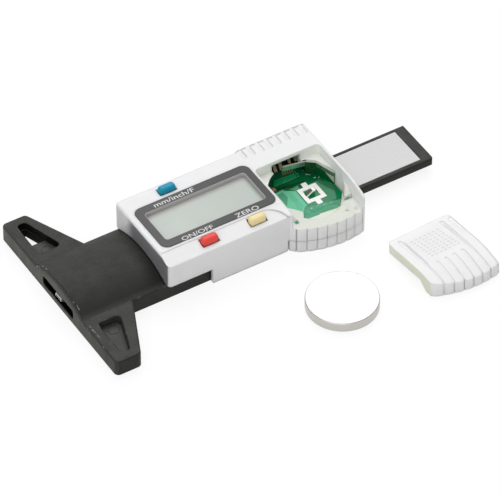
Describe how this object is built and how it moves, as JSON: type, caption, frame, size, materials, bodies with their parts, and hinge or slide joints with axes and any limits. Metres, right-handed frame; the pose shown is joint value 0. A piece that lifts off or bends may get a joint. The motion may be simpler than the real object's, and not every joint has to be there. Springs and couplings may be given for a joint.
{
  "type": "depth gauge",
  "caption": "Digital tyre tread depth gauge with a T-shaped foot, sliding probe bar, LCD, coloured buttons and an open battery bay, its cell and cover laid beside it.",
  "frame": {"origin": "middle of the lower edge of the foot's measuring face, on the plane of the gauge's back", "axes": "+X from the measuring face along the gauge to the slider's tail, +Y across the gauge, +Z out through the display; the gauge lies on its back at z = 0"},
  "size_m": [0.1132, 0.0828, 0.0154],
  "materials": {
    "black_plastic": "fine moulded grain",
    "white_plastic": "satin moulded",
    "grey_bezel": "satin print",
    "lcd_glass": "reflective liquid crystal glass",
    "elastomer": "layered conductive rubber",
    "board_green": "solder mask",
    "black_epoxy": "glob top",
    "tinned_steel": "bright plated spring steel",
    "screw_steel": "zinc plated",
    "spring_bronze": "spring bronze",
    "scale_board": "solder mask",
    "silver_label": "matt silver film",
    "probe_steel": "ground stainless",
    "red_plastic": "gloss",
    "yellow_plastic": "gloss",
    "blue_plastic": "gloss",
    "cell_steel": "nickel plated",
    "cell_gasket": "nylon"
  },
  "bodies": {
    "gauge": {"base_frame": "black_plastic", "top_housing": "white_plastic", "rear_lower_shell": "white_plastic", "lcd_frame": "white_plastic", "display_bezel": "grey_bezel", "lcd_panel": "lcd_glass", "elastomer_strips": "elastomer", "main_pcb": "board_green", "controller_chip": "black_epoxy", "switch_domes": "tinned_steel", "negative_contact": "tinned_steel", "positive_contact": "tinned_steel", "housing_screws": "screw_steel", "drag_spring": "spring_bronze"},
    "slider": {"slider_bar": "black_plastic", "scale_strip": "scale_board", "scale_label": "silver_label", "probe": "probe_steel"},
    "power_button": {"power_button": "red_plastic"},
    "zero_button": {"zero_button": "yellow_plastic"},
    "units_button": {"units_button": "blue_plastic"},
    "battery": {"cell_can": "cell_steel", "cell_gasket": "cell_gasket", "cell_cap": "cell_steel"},
    "battery_cover": {"battery_cover": "white_plastic"}
  },
  "joints": [
    {"name": "slider_travel", "type": "slide", "parent": "gauge", "child": "slider", "axis": [-1, 0, 0], "range_m": [0, 0.0254]},
    {"name": "power_button_press", "type": "slide", "parent": "gauge", "child": "power_button", "axis": [0, 0, -1], "range_m": [0, 0.0007], "stiffness_N_per_m": 500, "springref_m": -0.0005},
    {"name": "zero_button_press", "type": "slide", "parent": "gauge", "child": "zero_button", "axis": [0, 0, -1], "range_m": [0, 0.0007], "stiffness_N_per_m": 500, "springref_m": -0.0005},
    {"name": "units_button_press", "type": "slide", "parent": "gauge", "child": "units_button", "axis": [0, 0, -1], "range_m": [0, 0.0007], "stiffness_N_per_m": 500, "springref_m": -0.0005},
    {"name": "battery_lift", "type": "slide", "parent": "gauge", "child": "battery", "axis": [0, 0, 1], "range_m": [0, 0.02]},
    {"name": "battery_cover_lift", "type": "slide", "parent": "gauge", "child": "battery_cover", "axis": [0, 0, 1], "range_m": [0, 0.02]}
  ]
}
